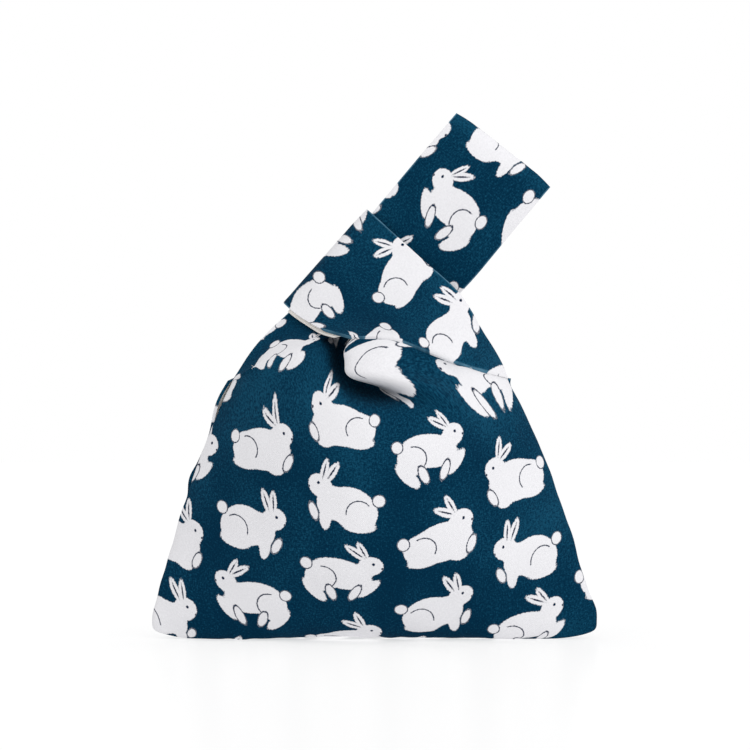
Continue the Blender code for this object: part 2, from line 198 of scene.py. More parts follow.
# The cloth's unevenness: how deep and how wide each size of dent is, and the puckers along the seams.
DENTS = ((1.2, 52.0), (0.7, 21.0), (0.2, 8.0))
PUCKER = 0.5
PUCKER_LENGTH = 7.0
SLACK_FROM = 5.0  # how many faces from a seam or an edge the cloth hangs free

# The bottom edge's middle stands off the table: how far, how far from the middle it touches down, and how
# high up the bag the lift fades out.
FOOT_LIFT, FOOT_LIFT_REACH, FOOT_LIFT_FADES = 1.4, 82.0, 40.0

# The side seams wander: by how much, over what length, and how many columns of faces in from the seam. The
# back's edge looks out past the front's in places: the side, the height, half the length and how far.
WANDER, WANDER_LENGTH, WANDER_COLUMNS = 1.0, 11.0, 3
Glimpse = namedtuple("Glimpse", "side z half_length reach")
GLIMPSES = (Glimpse(-1, 121.0, 17.0, 3.2), Glimpse(-1, 81.0, 7.0, 2.2), Glimpse(1, 134.0, 7.0, 2.6))

# How far the corners of a handle's folded end are rounded off, and the powers by which that sets in across
# the handle and along it.
HANDLE_CORNER = 1.6
CORNER_ACROSS, CORNER_ALONG = 6, 8

# The print: hares in columns, every other column half a step lower.
PRINT_ACROSS = 49.0
PRINT_UP = 40.0
PRINT_FROM = (9.0, 13.0)  # the lower left corner of one hare's place on the front's cut
PRINT_GRAIN = (0.9, 0.9, 3.0)  # the width, height and detail of the raggedness of its outlines
PRINT_ROUGH = 0.9  # how ragged they are, from the lowest to the highest
LINE_ROUGH = 0.7  # how ragged the lines are, as a share of that
HARE_SOFT, LINE_SOFT = 0.35, 0.3  # how wide the edges of hares and lines blur
HARE_SIZE = 1.03
HARE_TILT = 5.0  # degrees, to either side
HARE_FILLET = 1.8  # how far the corners between its ovals are filled in
EYE, NOSE = 0.75, 0.6  # half widths of the dots
EAR_LINE = (0.2, 0.6)  # the oval drawn in an ear, as shares of the shorter and the longer half width
RING_LINE, HAUNCH_LINE = 0.25, 0.28  # half widths of the lines round the paws and the tail, and the haunch
HAUNCH_STARTS = 1.2  # how far to its drawn side a haunch's line sets in
FAR_OFF = 99  # takes the other figures out of a hare's place

# The hares, in millimetres from the middle. An oval is its middle, its half widths and its turn in degrees.
# whole: the ovals that run together into the body; apart: the two ears, one or two paws and the tail,
# outlined; eye and nose: their places; haunch: the oval whose line marks it; haunch_shows: the way to its
# drawn side.
Hare = namedtuple("Hare", "whole apart eye nose haunch haunch_shows")
HARES = (
    Hare(  # sitting
        whole=(
            (5.0, -4.0, 13.0, 9.6, -14), (-4.5, -3.0, 8.5, 8.0, 0), (-12.0, 4.0, 6.6, 5.3, -18),
            (-8.0, -10.5, 2.9, 6.0, 6), (9.5, -12.6, 8.2, 3.0, 2), (9.5, -6.5, 8.6, 8.0, 0),
        ),
        apart=(
            (-6.6, 11.2, 2.2, 6.0, -30), (-10.6, 11.6, 2.0, 5.6, -8), (-14.2, -8.6, 2.2, 4.6, 28),
            (18.6, 0.5, 3.3, 3.0, 0),
        ),
        eye=(-13.2, 5.2), nose=(-18.0, 2.6), haunch=(9.0, -6.5, 6.6, 6.2), haunch_shows=(-0.3, 0.6),
    ),
    Hare(  # running
        whole=(
            (1.0, 1.0, 15.5, 7.8, 10), (10.5, -1.5, 8.4, 7.6, 0), (-13.5, 6.0, 6.4, 5.0, -8),
            (-13.0, -6.6, 2.6, 7.0, 48), (14.0, -9.4, 3.1, 8.0, -46),
        ),
        apart=(
            (-6.5, 12.6, 2.0, 6.6, -58), (-9.6, 13.6, 1.9, 5.2, -30), (-6.2, -9.2, 2.3, 5.2, 30),
            (5.6, -9.6, 2.4, 4.8, -24), (18.4, 4.6, 3.1, 2.9, 0),
        ),
        eye=(-15.0, 7.2), nose=(-19.4, 5.0), haunch=(10.0, -1.6, 6.8, 5.8), haunch_shows=(-0.5, 0.3),
    ),
    Hare(  # crouching
        whole=(
            (2.0, -4.6, 16.0, 9.6, 4), (-9.0, -6.0, 9.0, 7.6, 0), (12.6, 3.4, 6.6, 5.6, 14),
            (-9.0, -12.8, 7.6, 2.7, 0), (10.0, -12.6, 4.6, 2.7, 0),
        ),
        apart=(
            (5.0, 9.4, 6.2, 2.1, -26), (8.2, 12.2, 2.0, 5.6, 24), (16.8, -8.8, 2.3, 4.6, -26),
            (-17.6, -2.0, 3.1, 3.1, 0),
        ),
        eye=(14.0, 4.6), nose=(18.6, 2.6), haunch=(-8.0, -6.2, 6.6, 5.8), haunch_shows=(0.5, 0.5),
    ),
)

# The finishes, in linear light.
NAVY_DEEP = (0.0001, 0.0205, 0.049, 1.0)
NAVY_PALE = (0.005, 0.060, 0.114, 1.0)
# the navy under the painted highlight along the hems
NAVY_HEM_HIGHLIGHT = (0.10, 0.24, 0.34, 1.0)
OFF_WHITE_DEEP = (0.715, 0.71, 0.735, 1.0)
OFF_WHITE = (0.775, 0.77, 0.795, 1.0)
INK = (0.002, 0.012, 0.040, 1.0)
CREAM_DEEP = (0.80, 0.76, 0.71, 1.0)
CREAM = (0.88, 0.85, 0.81, 1.0)
COTTON = {"Roughness": 0.9, "Specular IOR Level": 0.02, "Sheen Weight": 0.01, "Sheen Roughness": 0.4}

# Painted light and shade over the flat cut, each as how much lighter it makes the cloth (darker where
# negative), where it sets in and where it is full; and random patches of lighter dye.
Fade = namedtuple("Fade", "much start full")
PLEAT_HEIGHT = 135.0  # of the pleat's point on the flat cut
PLEAT_PAINTED_LIGHT = Fade(0.24, 32.0, 5.0)  # painted light: lighter near the pleat's height, at distances up or down from there
RIGHT_PAINTED_LIGHT = Fade(0.25, 60.0, 100.0)  # painted light: lighter at distances to the right of the cut's middle
FOLD_PAINTED_HIGHLIGHT = Fade(0.4, LONG_END - 9.0, LONG_END - 3.0)  # painted highlight at heights near the long handle's folded end
FOOT_PAINTED_SHADE = Fade(-0.2, 80.0, 20.0)  # painted shade: darker at heights down to the foot
PATCH, PATCHY = (30.0, 40.0), 0.9  # the width and height of the patches all over, and by how much they fade

# Where a painted highlight lightens the navy: along the handles' hems, to either side of the cut's middle and
# from some height up, and along the short handle's lap over the body.
HEMS, HEMS_FROM = (28.0, 98.0), 168.0
HEM_HIGHLIGHT_REACH, LAP_HIGHLIGHT_REACH = 0.6, 0.9  # how far the painted highlight reaches from each
# the width and height of the blotches in the painted highlight
HIGHLIGHT_BLOTCH = (6.0, 6.0)
SLANT = 0.7  # the lap slants at 45 degrees: the distance square to it, as a share of the distance across

# The weave, and the threads' tone.
THREAD_PITCH = 0.55
THREAD = (1.5, 0.6)  # the length and the thickness over which a thread keeps its tone
WEAVE_DEEP, WEAVE_STRENGTH = 0.12, 0.6
SPECKLE, LINING_SPECKLE = 3.3, 2.0  # how strongly the tone shows in the print and in the lining

# The studio, in metres: where each lamp is, its width and its power in watts.
WHITE = (1.0, 1.0, 1.0, 1.0)
PAPER = {"Roughness": 0.9, "Specular IOR Level": 0.0, "Emission Color": WHITE}
FLOOR_PAPER = {
    **PAPER, "Base Color": (0.45, 0.45, 0.45, 1.0), "Emission Strength": 0.66,
    "Coat Weight": 0.1, "Coat Roughness": 0.2,
}
WALL_PAPER = {**PAPER, "Base Color": (0.0, 0.0, 0.0, 1.0), "Emission Strength": 1.0}
FLOOR_REACH = 4.0
WALL_REACH = 7.0
ROOM_LIGHT = 0.80
LAMPS = (
    ("window", (1.5, -1.8, 0.9), 0.9, 16.0),
    ("ceiling", (0.0, -0.8, 2.4), 1.6, 9.0),
)
LAMPS_AIM = Vector((0.0, 0.0, 0.12))
CAMERA_AWAY = 2.0
PICTURE_WIDTH = 0.375
PICTURE_MIDDLE = (0.0, 0.13175)
SENSOR = 36.0  # millimetres


def slope(k, stations, values):
    """How steep the curve below is at one of its stations."""
    if k in (0, len(stations) - 1):
        j = min(k, len(stations) - 2)
        return (values[j + 1] - values[j]) / (stations[j + 1] - stations[j])
    before, after = stations[k] - stations[k - 1], stations[k + 1] - stations[k]
    rise, next_rise = (values[k] - values[k - 1]) / before, (values[k + 1] - values[k]) / after
    if rise * next_rise <= 0:
        return 0.0
    heavy, light = 2 * after + before, after + 2 * before
    return (heavy + light) / (heavy / rise + light / next_rise)


def curve(at, stations, values):
    """The value at a place on the smooth curve through (stations, values), without overshoot."""
    at = min(max(at, stations[0]), stations[-1])
    i = next(k for k in range(len(stations) - 1) if at <= stations[k + 1])
    leaving, arriving = slope(i, stations, values), slope(i + 1, stations, values)
    step = stations[i + 1] - stations[i]
    t = (at - stations[i]) / step
    return (
        values[i] * (1 + 2 * t) * (1 - t) ** 2
        + values[i + 1] * t * t * (3 - 2 * t)
        + step * (leaving * t * (1 - t) ** 2 - arriving * t * t * (1 - t))
    )


def read(table, at, *columns):
    """Columns of a table, read at a place between its rows. The rows' places are its first column."""
    places = [row[0] for row in table]
    return [curve(at, places, [getattr(row, column) for row in table]) for column in columns]


def even_across(share, depth, half_width):
    """Where a share of a curved row's cloth lies across its chord, both from -1 to 1."""
    lean = math.hypot(1, 2 * depth / half_width)
    pull = (lean - 1) / (1 + 2 * lean)
    return (1 + pull) * share - pull * share**3


def row_place(panel, share, up):
    """The place (x, out, z) on the body without its pleat, at a share across and a height on the cut."""
    left, right, side_z, mid_out, mid_z, plateau, fall = read(ROWS, up, *Row._fields[1:])
    if up > ROWS[1].up:
        mid_out *= panel.fullness
    across = even_across(share, mid_out, (right - left) / 2)
    arch = max(1 - across * across, 0.0) ** ROUNDNESS
    level = max(abs(across) - plateau, 0.0) / (1 - plateau)
    x = left + (right - left) * (across + 1) / 2
    z = mid_z + (side_z - mid_z) * level**fall
    return x, LIP + (mid_out - LIP) * arch, max(z, 0.0)


def neck_place(panel, cut):
    """The place (x, out, z) on the body's top row, at a distance across the cut."""
    x, out, z = read(NECK, cut, "x", "out", "z")
    return x, LIP + (out - LIP) * panel.fullness, z


def pleat_stand(cut, row):
    """How far the pleat stands off at a distance across the cut, in one of its rows."""
    cuts = [neck.cut for neck in NECK]
    return [curve(cut, cuts, column) for column in zip(*(getattr(neck, row) for neck in NECK))]


def height_on_cut(share, rise):
    """The height on the flat cut at a share across the body and a share of the way up to its top row."""
    roof = min((1 - abs(share)) / (1 - NECK_WIDTH / ARMHOLE_WIDTH), 1.0)
    return rise * (ARMHOLE_HEIGHT + (NECK_HEIGHT - ARMHOLE_HEIGHT) * roof)


def body_place(panel, cut, rise):
    """The place (x, out, z) on the body at a distance across the cut and a share of the way up to its top."""
    share = cut / (ARMHOLE_WIDTH / 2)
    plain = row_place(panel, share, height_on_cut(share, rise))
    pleated = max(rise - PLEAT_STARTS, 0.0) / (1 - PLEAT_STARTS)
    cut -= PLEAT_LEAN * (1 - pleated) * (1 - share * share)
    top = neck_place(panel, cut)
    place = [a + (b - a) * pleated for a, b in zip(plain, top)]
    for row, holds in SWELLS.items():
        swell = panel.puff * curve(pleated, SWELLS_AT, holds)
        place = [a + swell * b for a, b in zip(place, pleat_stand(cut, row))]
    return tuple(place)


def band_place(table, along, across):
    """The place (x, out, z) on a handle half, from its own table alone."""
    left, right = read(table, along, "lx", "lout", "lz"), read(table, along, "rx", "rout", "rz")
    x, out, z = (a + (b - a) * across for a, b in zip(left, right))
    (crown,) = read(table, along, "crown")
    return x, out + crown * (1 - (2 * across - 1) ** 2), z


def shoulder_cut(share):
    """The distance across the cut at a share of the way from the neck to the armhole."""
    return NECK_WIDTH / 2 + (ARMHOLE_WIDTH - NECK_WIDTH) / 2 * share


def root_place(panel, table, across):
    """The place (x, out, z) on a handle half's root: the body's top row, and the lap on the short one."""
    if table is LONG_HANDLE:
        return neck_place(panel, -shoulder_cut(1 - across))
    x, out, z = neck_place(panel, shoulder_cut(across))
    return x - LAP * (1 - across) ** LAP_FADES, out + LAP_OUT, z + LAP_UP


def handle_place(panel, table, along, across):
    """The place (x, out, z) on a handle half, whose root's folds fade out along it."""
    root, band = root_place(panel, table, across), band_place(table, 0.0, across)
    left = max(1 - along / ROOT_FADES_OVER, 0.0)
    keep = left * left * (3 - 2 * left)
    corner = (2 * across - 1) ** CORNER_ACROSS * (along / table[-1].along) ** CORNER_ALONG
    place = band_place(table, along - HANDLE_CORNER * corner, across)
    return tuple(a + (b - c) * keep for a, b, c in zip(place, root, band))


def bottom_seam(x):
    """How far forward of the seam plane the bottom seam runs."""
    return SEAM_BOW * max(1 - (x / ROWS[0].right) ** 2, 0.0)


def foot_lift(x, z):
    """How far the bottom edge's middle stands off the table."""
    return FOOT_LIFT * max(1 - (x / FOOT_LIFT_REACH) ** 2, 0.0) ** 2 * max(1 - z / FOOT_LIFT_FADES, 0.0)


def seam_wander(panel, from_left, from_right, z):
    """How far a side seam strays across at a height, for cloth a number of columns away from it."""
    side, columns = (-1, from_left) if from_left < from_right else (1, from_right)
    stray = WANDER * noise.noise(Vector((side, 0.0, z / WANDER_LENGTH)))
    if panel.side > 0:
        for glimpse in GLIMPSES:
            if glimpse.side == side:
                stray += glimpse.reach * max(1 - ((z - glimpse.z) / glimpse.half_length) ** 2, 0.0)
    return side * stray * max(1 - max(columns, 0) / WANDER_COLUMNS, 0.0)


def to_world(panel, place, stand=None, forward=0.0):
    """A place (x, out, z) as a point. stand takes the place of out beside a seam, and forward is how far the
    seam bows."""
    x, out, z = place
    if stand is not None:
        out = stand
    return (x - MIDDLE_X) * MM, (panel.side * out - forward + MIDDLE_FORWARD) * MM, z * MM


def neck_stations():
    """The distances across the cut of the body's columns, from the left shoulder to the right one."""
    shoulder = [shoulder_cut(k / ACROSS_SHOULDER) for k in range(ACROSS_SHOULDER + 1)]
    neck = [NECK_WIDTH * (k / ACROSS_NECK - 0.5) for k in range(1, ACROSS_NECK)]
    return [-cut for cut in reversed(shoulder)] + neck + shoulder


def body_rises():
    """The body's rows, closer together at the foot, where it turns under, and in the pleat."""
    lip = LIP / NECK_HEIGHT
    below = [lip + (PLEAT_STARTS - lip) * (k / UP_BODY) ** CLOSER_AT_FOOT for k in range(UP_BODY)]
    return below + [PLEAT_STARTS + (1 - PLEAT_STARTS) * k / UP_PLEAT for k in range(UP_PLEAT + 1)]


def along_stations(table, count):
    """Distances along a handle half, closer together towards its folded end."""
    length = table[-1].along
    return [length * (1 - (1 - k / count) ** CLOSER_AT_END) for k in range(count + 1)]


def lining_place(panel, along, down):
    """The place (x, out, z) behind the short handle half, at a distance along it and below its lower hem."""

    def at(where, across):
        return Vector(handle_place(panel, SHORT_HANDLE, where, across))

    hem, upper = at(along, 0.0), at(along, 1.0)
    up = (at(along, HEM_UP) - hem).normalized()
    behind = up.cross(at(along + HEM_ALONG, 0.0) - at(along - HEM_ALONG, 0.0)).normalized()
    behind *= -math.copysign(LINING_BEHIND, behind.y)
    face = hem - up * down if down > 0 else at(along, -down / (upper - hem).length)
    return face + behind


def settle_shoulder(bm, panel):
    """Rounds the left shoulder, where the long handle turns in under the short one."""
    corners = [to_world(panel, corner) for corner in SHOULDER_BOX]
    low, high = ([pick(pair) for pair in zip(*corners)] for pick in (min, max))
    turning = [
        vert
        for vert in bm.verts
        if not vert.is_boundary and all(a <= b <= c for a, b, c in zip(low, vert.co, high))
    ]
    for _ in range(SHOULDER_PASSES):
        bmesh.ops.smooth_vert(
            bm, verts=turning, factor=SHOULDER_PULL, use_axis_x=True, use_axis_y=True, use_axis_z=True
        )


def body_flat(cut, rise):
    """Where a point of the body lies on the flat cut, from the middle of its bottom edge."""
    share = cut / (ARMHOLE_WIDTH / 2)
    up = height_on_cut(share, rise)
    width = BOTTOM_WIDTH + (ARMHOLE_WIDTH - BOTTOM_WIDTH) * min(up / ARMHOLE_HEIGHT, 1.0)
    return share * width / 2, up


def handle_flat(table, along, across):
    """Where a point of a handle half lies on the flat cut."""
    if table is LONG_HANDLE:
        left, root_left, root_right, end = -ARMHOLE_WIDTH / 2, ARMHOLE_HEIGHT, NECK_HEIGHT, LONG_END
    else:
        left, root_left, root_right, end = NECK_WIDTH / 2, SHORT_TUCK, ARMHOLE_HEIGHT, SHORT_END
    root = root_left + (root_right - root_left) * across
    return left + HANDLE_WIDTH * across, root + (end - root) * along / table[-1].along


def on_cut(panel, u, v):
    """A place on the cloth that both cuts come from. The back's cut lies beside the front's, the other way
    round."""
    return (u, v) if panel.side < 0 else (BACK_CUT_AT - u, v)


def new_cloth():
    """An empty bmesh that holds each point's place on the flat cut and how free it hangs."""
    bm = bmesh.new()
    bm.loops.layers.uv.new("cut")
    bm.verts.layers.float.new("slack")
    return bm


def add_grid(bm, columns, rows, place, lay, slack):
    """Adds a grid. place, lay and slack give each vertex its point, its place on the flat cut and how free
    it hangs."""
    flat, free = bm.loops.layers.uv["cut"], bm.verts.layers.float["slack"]
    made = bmesh.ops.create_grid(bm, x_segments=columns, y_segments=rows, size=0.5)
    for vert in made["verts"]:
        column, row = round((vert.co.x + 0.5) * columns), round((vert.co.y + 0.5) * rows)
        vert.co = place(column, row)
        vert[free] = slack(column, row)
        for loop in vert.link_loops:
            loop[flat].uv = [length * MM for length in lay(column, row)]


def weld(bm):
    """Joins the grids where their points meet."""
    bmesh.ops.remove_doubles(bm, verts=bm.verts, dist=WELD * MM)


def add_body(bm, panel):
    """The body, with a lip of one face along the bottom seam and along each side seam."""
    cuts, rises = neck_stations(), body_rises()

    def at(column, row):
        return cuts[min(max(column - 1, 0), len(cuts) - 1)], rises[row - 1] if row > 1 else 0.0

    def place(column, row):
        on_seam = row == 0 or column in (0, len(cuts) + 1)
        x, out, z = body_place(panel, *at(column, row))
        spot = x + seam_wander(panel, column - 1, len(cuts) - column, z), out, z + foot_lift(x, z)
        if row > 1:
            return to_world(panel, spot, SEAM_GAP / 2 if on_seam else None)
        return to_world(panel, spot, SEAM_GAP / 2 if on_seam else LIP, bottom_seam(spot[0]))

    def lay(column, row):
        u, v = body_flat(*at(column, row))
        lip = (column == len(cuts) + 1) - (column == 0)
        return on_cut(panel, u + lip * LIP, v - (row == 0) * LIP)

    def slack(column, row):
        return min(column, len(cuts) + 1 - column, row) / SLACK_FROM

    add_grid(bm, len(cuts) + 1, len(rises), place, lay, slack)


def add_handle(bm, panel, table, count):
    """A handle half, from the body's top row to a lip at the seam in its folded end."""
    stations = along_stations(table, count)
    if table is SHORT_HANDLE:
        stations.insert(0, None)  # the body's own row, under the lap

    def at(row):
        return stations[min(row, len(stations) - 1)]

    def place(column, row):
        across = column / ACROSS_SHOULDER
        if at(row) is None:
            return to_world(panel, neck_place(panel, shoulder_cut(across)))
        stand = SEAM_GAP / 2 if row == len(stations) else None
        return to_world(panel, handle_place(panel, table, at(row), across), stand)

    def lay(column, row):
        u, v = handle_flat(table, at(row) or 0.0, column / ACROSS_SHOULDER)
        return on_cut(panel, u, v + (row == len(stations)) * LIP)

    def slack(column, row):
        return min(column + 1, ACROSS_SHOULDER - column + 1, len(stations) - row) / SLACK_FROM

    add_grid(bm, ACROSS_SHOULDER, len(stations), place, lay, slack)


def add_object(name, data):
    made = bpy.data.objects.new(name, data)
    bpy.context.scene.collection.objects.link(made)
    return made


def add_mesh(name, bm, finishes):
    """The bmesh as an object in the scene."""
    mesh = bpy.data.meshes.new(name)
    bm.to_mesh(mesh)
    bm.free()
    for finish in finishes:
        mesh.materials.append(finish)
    return add_object(name, mesh)


def add_piece(name, bm, finishes):
    """A piece of the bag, smooth and on the bag's one body."""
    piece = add_mesh(name, bm, finishes)
    piece.data.shade_smooth()
    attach(piece, "root")
    return piece


def refine(piece):
    """Swaps a coarse mesh for its smooth surface."""
    smooth = piece.modifiers.new("Smooth", "SUBSURF")
    smooth.levels = smooth.render_levels = FINENESS
    smooth.boundary_smooth = "PRESERVE_CORNERS"
    graph = bpy.context.evaluated_depsgraph_get()
    fine = bpy.data.meshes.new_from_object(
        piece.evaluated_get(graph), preserve_all_data_layers=True, depsgraph=graph
    )
    piece.modifiers.clear()
    piece.data = fine


def dent(place, slack):
    """How far the cloth stands off its smooth surface, in millimetres: soft dents, and puckers that are
    fullest half way from a seam to where the cloth hangs free."""
    height = sum(deep * noise.noise(place / wide + Vector((wide, 0.0, 0.0))) for deep, wide in DENTS)
    pucker = PUCKER * noise.noise(place / PUCKER_LENGTH)
    return height * min(slack, 1.0) + pucker * 4 * slack * max(1 - slack, 0.0)


def crumple(piece):
    """Moves the fine mesh along its normals."""
    mesh = piece.data
    slack = mesh.attributes["slack"].data
    moves = [vert.normal * dent(vert.co / MM, free.value) * MM for vert, free in zip(mesh.vertices, slack)]
    for vert, move in zip(mesh.vertices, moves):
        vert.co += move


def give_thickness(piece, thickness, edge):
    """The cloth's thickness on its inner side, whose faces take the last finish, with soft edges."""
    wall = piece.modifiers.new("Thickness", "SOLIDIFY")
    wall.thickness = thickness * MM
    wall.offset = -1.0
    wall.material_offset = len(piece.data.materials) - 1
    soft = piece.modifiers.new("Soft edges", "BEVEL")
    soft.width = edge * MM
    soft.segments = 2
    soft.limit_method = "ANGLE"
    soft.angle_limit = math.radians(EDGE_ANGLE)


def add_panel(panel, finishes):
    """A panel: its body and both its handle halves, in one sheet."""
    bm = new_cloth()
    add_body(bm, panel)
    add_handle(bm, panel, LONG_HANDLE, ALONG_LONG)
    weld(bm)
    settle_shoulder(bm, panel)
    add_handle(bm, panel, SHORT_HANDLE, ALONG_SHORT)
    weld(bm)
    if panel.side > 0:
        bmesh.ops.reverse_faces(bm, faces=bm.faces)
    piece = add_piece(panel.name, bm, finishes)
    refine(piece)
    crumple(piece)
    give_thickness(piece, CLOTH, CLOTH_EDGE)
    return piece


def add_lining_rim(panel, finish):
    """The lining's edge, where it looks out below the short handle's lower hem."""
    bm = new_cloth()

    def at(column, row):
        along = LINING_FROM + (LINING_TO - LINING_FROM) * row / ALONG_LINING
        return along, LINING_SHOWS - (LINING_SHOWS + LINING_WIDTH) * column / ACROSS_LINING

    def place(column, row):
        return to_world(panel, lining_place(panel, *at(column, row)))

    add_grid(bm, ACROSS_LINING, ALONG_LINING, place, at, lambda column, row: 0.0)
    piece = add_piece("lining_rim", bm, [finish])
    give_thickness(piece, LINING, LINING_EDGE)
    return piece


class Wire:
    """A socket in a finish. Python's operators on it add Math nodes."""

    def __init__(self, tree, socket):
        self.tree, self.socket = tree, socket

    def node(self, kind, settings, values):
        """Another node in the same finish."""
        return add_node(self.tree, kind, settings, values)

    def maths(self, operation, *others, clamp=False):
        """A Math node whose first value is this one."""
        settings = {"operation": operation, "use_clamp": clamp}
        return self.node("ShaderNodeMath", settings, dict(enumerate((self, *others))))

    def maths_after(self, first, operation):
        """A Math node whose second value is this one."""
        return self.node("ShaderNodeMath", {"operation": operation}, {0: first, 1: self})

    def vector_maths(self, operation, values):
        """A Vector Math node whose first value is this one."""
        return self.node("ShaderNodeVectorMath", {"operation": operation}, {0: self, **values})

    def __add__(self, other):
        return self.maths("ADD", other)

    def __sub__(self, other):
        return self.maths("SUBTRACT", other)

    def __mul__(self, other):
        return self.maths("MULTIPLY", other)

    def __truediv__(self, other):
        return self.maths("DIVIDE", other)

    def __mod__(self, other):
        return self.maths("FLOORED_MODULO", other)

    def __radd__(self, other):
        return self.maths_after(other, "ADD")

    def __rsub__(self, other):
        return self.maths_after(other, "SUBTRACT")

    def __rmul__(self, other):
        return self.maths_after(other, "MULTIPLY")

    def __rtruediv__(self, other):
        return self.maths_after(other, "DIVIDE")

    def __rmod__(self, other):
        return self.maths_after(other, "FLOORED_MODULO")

    def __abs__(self):
        return self.maths("ABSOLUTE")

    def __floor__(self):
        return self.maths("FLOOR")

    def at_least(self, low):
        return self.maths("MAXIMUM", low)

    def clamped(self):
        """Kept from 0 to 1."""
        return self.maths("ADD", 0.0, clamp=True)


def add_node(tree, kind, settings, values):
    """Adds a node, sets it, then fills its sockets, by name or by place. Its first live output comes back."""
    node = tree.nodes.new(kind)
    for name, setting in settings.items():
        setattr(node, name, setting)
    for name, value in values.items():
        socket = node.inputs[name] if isinstance(name, int) else live(node.inputs, name)
        if isinstance(value, Wire):
            tree.links.new(value.socket, socket)
        else:
            socket.default_value = value
    return Wire(tree, live(node.outputs))


def live(sockets, name=None):
    """The first socket in use that has this name."""
    return next(socket for socket in sockets if socket.enabled and name in (None, socket.name))


def set_sockets(node, values):
    for name, value in values.items():
        node.inputs[name].default_value = value


def oval(point, shape):
    """How far a point lies outside an oval: its middle, its half widths and its turn."""
    x, y, wide, high, turn = shape
    scale = {"Location": (x, y, 0), "Rotation": (0, 0, math.radians(turn)), "Scale": (wide, high, 1)}
    inside = point.node("ShaderNodeMapping", {"vector_type": "TEXTURE"}, {"Vector": point, **scale})
    return (inside.vector_maths("LENGTH", {}) - 1) * min(wide, high)


def lower(first, *others):
    """The lowest of some distances: the outline round all their shapes."""
    for other in others:
        first = first.maths("MINIMUM", other)
    return first


def run_together(first, *others):
    """The lowest of some distances, with the corners between the shapes filled in."""
    for other in others:
        first = first.maths("SMOOTH_MIN", other, HARE_FILLET)
    return first


def ear_line(x, y, wide, high, turn):
    """The slim oval drawn inside an ear."""
    across, up = EAR_LINE if wide < high else reversed(EAR_LINE)
    return x, y, wide * across, high * up, turn


def haunch_line(point, figure):
    """How far a point lies outside the line round a haunch, drawn only on the side that shows."""
    x, y = figure.haunch[:2]
    across, up = figure.haunch_shows
    facing = point.vector_maths("DOT_PRODUCT", {1: (across, up, 0)})
    ring = abs(oval(point, (*figure.haunch, 0))) - HAUNCH_LINE
    return ring.at_least(HAUNCH_STARTS + across * x + up * y - facing)


def hare(point, figure):
    """How far a point lies outside a hare, and outside the lines drawn on it."""
    parts = [oval(point, shape) for shape in figure.apart]
    outline = lower(run_together(*(oval(point, shape) for shape in figure.whole)), *parts)
    dots = [oval(point, (*spot, size, size, 0)) for spot, size in ((figure.eye, EYE), (figure.nose, NOSE))]
    ears = [oval(point, ear_line(*shape)) for shape in figure.apart[:2]]
    rings = [abs(part) - RING_LINE for part in parts[2:]]
    return outline, lower(*dots, *ears, *rings, haunch_line(point, figure))


def mask(distance, soft):
    """1 inside an outline and 0 outside it."""
    return distance.maths("MULTIPLY_ADD", -1 / soft, 0.5, clamp=True)


def ramp(place, start, end):
    """0 at the start, 1 at the end, and an even rise between."""
    return place.maths("MULTIPLY_ADD", 1 / (end - start), -start / (end - start), clamp=True)


def mix(low, high, share):
    """A colour between two."""
    return share.node("ShaderNodeMix", {"data_type": "RGBA"}, {"Factor": share, "A": low, "B": high})


def join(x, y):
    """Two numbers as a vector."""
    return x.node("ShaderNodeCombineXYZ", {}, {"X": x, "Y": y})


def split(vector):
    """A vector's first two numbers."""
    first = vector.node("ShaderNodeSeparateXYZ", {}, {0: vector})
    return first, Wire(first.tree, first.socket.node.outputs["Y"])


def stretched_noise(flat, wide, high, detail=2.0):
    """Noise from 0 to 1 over the flat cloth, whose blotches are this wide and high in millimetres."""
    scaled = flat.vector_maths("MULTIPLY", {1: (1 / wide, 1 / high, 0)})
    values = {"Vector": scaled, "Scale": 1.0, "Detail": detail}
    return flat.node("ShaderNodeTexNoise", {"noise_dimensions": "2D"}, values)


def flat_cloth(tree):
    """The place on the flat cloth, in millimetres."""
    uv = add_node(tree, "ShaderNodeUVMap", {"uv_map": "cut"}, {})
    return uv.vector_maths("SCALE", {"Scale": 1 / MM})


def thread_tone(flat):
    """How light each thread is, from 0 to 1."""
    long, thick = THREAD
    return (stretched_noise(flat, long, thick) + stretched_noise(flat, thick, long)) * 0.5


def weave_height(flat, tone):
    """The plain weave's relief, with thick and thin threads."""
    turned = flat.vector_maths("SCALE", {"Scale": math.pi / THREAD_PITCH})
    over, under = split(turned.vector_maths("SINE", {}))
    return over * under * 0.5 + tone * 2


def hare_print(flat):
    """The white of the print, and the lines on it, each from 0 to 1, over the flat cloth."""
    u, v = (place - start for place, start in zip(split(flat), PRINT_FROM))
    column = math.floor(u / PRINT_ACROSS)
    v = v + (column % 2) * (PRINT_UP / 2)
    row = math.floor(v / PRINT_UP)
    turned_round = math.floor((math.floor(column * 0.5) + row) % 2) * 2 - 1
    x = (u - (column + 0.5) * PRINT_ACROSS) * turned_round
    y = v - (row + 0.5) * PRINT_UP
    chance = x.node("ShaderNodeTexWhiteNoise", {"noise_dimensions": "2D"}, {"Vector": join(column, row)})
    tilt = (chance - 0.5) * math.radians(HARE_TILT * 2)
    turn = {"Vector": join(x, y), "Angle": tilt}
    turned = x.node("ShaderNodeVectorRotate", {"rotation_type": "Z_AXIS"}, turn)
    point = turned.vector_maths("SCALE", {"Scale": 1 / HARE_SIZE})
    kind = (column + row * 2) % len(HARES)
    outlines, lines = [], []
    for k, figure in enumerate(HARES):
        away = (1 - kind.maths("COMPARE", k, 0.5)) * FAR_OFF
        outline, line = hare(point, figure)
        outlines.append(outline + away)
        lines.append(line + away)
    rough = (stretched_noise(flat, *PRINT_GRAIN) - 0.5) * PRINT_ROUGH
    return mask(lower(*outlines) + rough, HARE_SOFT), mask(lower(*lines) + rough * LINE_ROUGH, LINE_SOFT)


def new_finish(name, settings):
    """A finish whose shader has these settings."""
    finish = bpy.data.materials.new(name)
    finish.use_nodes = True
    set_sockets(finish.node_tree.nodes["Principled BSDF"], settings)
    return finish


